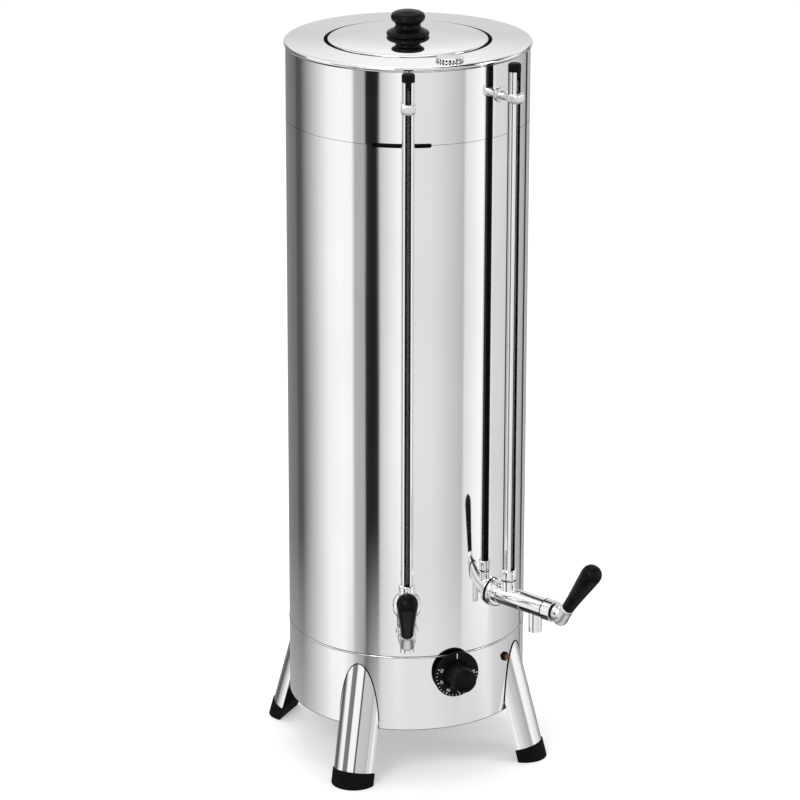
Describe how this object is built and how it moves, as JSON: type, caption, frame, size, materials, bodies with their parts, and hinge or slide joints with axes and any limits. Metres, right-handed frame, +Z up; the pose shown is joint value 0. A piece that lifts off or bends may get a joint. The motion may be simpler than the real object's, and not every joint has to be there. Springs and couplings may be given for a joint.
{
  "type": "coffee urn",
  "caption": "Tall polished steel coffee urn with a water jacket, two lever taps with sight gauges, a thermostat dial, a lift-off lid and splayed legs.",
  "frame": {"origin": "on the floor, on the axis of the round jacket", "axes": "+Z up along the jacket's axis, -Y towards the dial at the front, +X to the right of someone facing the dial"},
  "size_m": [0.2536, 0.3808, 0.7983],
  "materials": {
    "polished_steel": "mirror polished",
    "leg_steel": "polished",
    "inner_steel": "satin",
    "fasteners": "plain",
    "chrome": "bright plated",
    "brass": "machined",
    "black_phenolic": "glossy",
    "black_nylon": "satin",
    "rubber": "matte",
    "gauge_glass": "clear",
    "amber_lens": "translucent",
    "terminal_nylon": "plain",
    "lead_insulation": "plain",
    "thermostat_case": "plain"
  },
  "bodies": {
    "urn": {"base_band": "polished_steel", "main_jacket": "polished_steel", "upper_collar": "polished_steel", "top_deck": "polished_steel", "bottom_cover": "inner_steel", "cover_screws": "fasteners", "water_tank": "inner_steel", "coffee_vessel": "inner_steel", "outlet_pipe": "inner_steel", "heating_element": "inner_steel", "element_nuts": "brass", "thermostat": "thermostat_case", "pilot_bezel": "black_nylon", "pilot_lens": "amber_lens", "terminal_block": "terminal_nylon", "wiring": "lead_insulation", "cable_gland": "black_nylon", "gland_nut": "black_nylon", "leg_front_left": "leg_steel", "leg_front_right": "leg_steel", "leg_rear_left": "leg_steel", "leg_rear_right": "leg_steel", "foot_front_left": "rubber", "foot_front_right": "rubber", "foot_rear_left": "rubber", "foot_rear_right": "rubber", "leg_nuts": "fasteners", "filler_neck": "inner_steel", "coffee_tap_body": "chrome", "water_tap_body": "chrome", "tap_gaskets": "rubber", "tap_locknuts": "brass", "coffee_bonnet_nut": "chrome", "water_bonnet_nut": "chrome", "coffee_gauge_nut": "chrome", "water_gauge_nut": "chrome", "gauge_seals": "rubber", "coffee_gauge_glass": "gauge_glass", "water_gauge_glass": "gauge_glass", "coffee_gauge_guard": "chrome", "water_gauge_guard": "chrome", "coffee_gauge_cap": "black_nylon", "water_gauge_cap": "black_nylon", "coffee_gauge_holder": "chrome", "water_gauge_holder": "chrome", "holder_nuts": "fasteners"},
    "lid": {"lid": "polished_steel", "lid_knob": "black_phenolic", "lid_knob_screw": "fasteners"},
    "filler": {"filler_plug": "chrome"},
    "dial": {"dial_knob": "black_phenolic", "dial_shaft": "fasteners"},
    "coffee_handle": {"coffee_valve_plug": "brass", "coffee_stem_washer": "black_nylon", "coffee_lever": "chrome", "coffee_lever_grip": "black_phenolic"},
    "water_handle": {"water_valve_plug": "brass", "water_stem_washer": "black_nylon", "water_lever": "chrome", "water_lever_grip": "black_phenolic"}
  },
  "joints": [
    {"name": "lid_lift", "type": "slide", "parent": "urn", "child": "lid", "axis": [0, 0, 1], "range_m": [0, 0.16]},
    {"name": "filler_lift", "type": "slide", "parent": "urn", "child": "filler", "axis": [0, 0, 1], "range_m": [0, 0.05]},
    {"name": "dial_turn", "type": "hinge", "parent": "urn", "child": "dial", "pos_m": [0, -0.125, 0.1195], "axis": [0, 1, 0], "range_deg": [0, 270]},
    {"name": "coffee_lever_turn", "type": "hinge", "parent": "urn", "child": "coffee_handle", "pos_m": [-0.07836, -0.18107, 0.1986], "axis": [-0.3971, -0.9178, 0], "range_deg": [0, 90]},
    {"name": "water_lever_turn", "type": "hinge", "parent": "urn", "child": "water_handle", "pos_m": [0.07836, -0.18107, 0.1986], "axis": [0.3971, -0.9178, 0], "range_deg": [0, 90]}
  ]
}
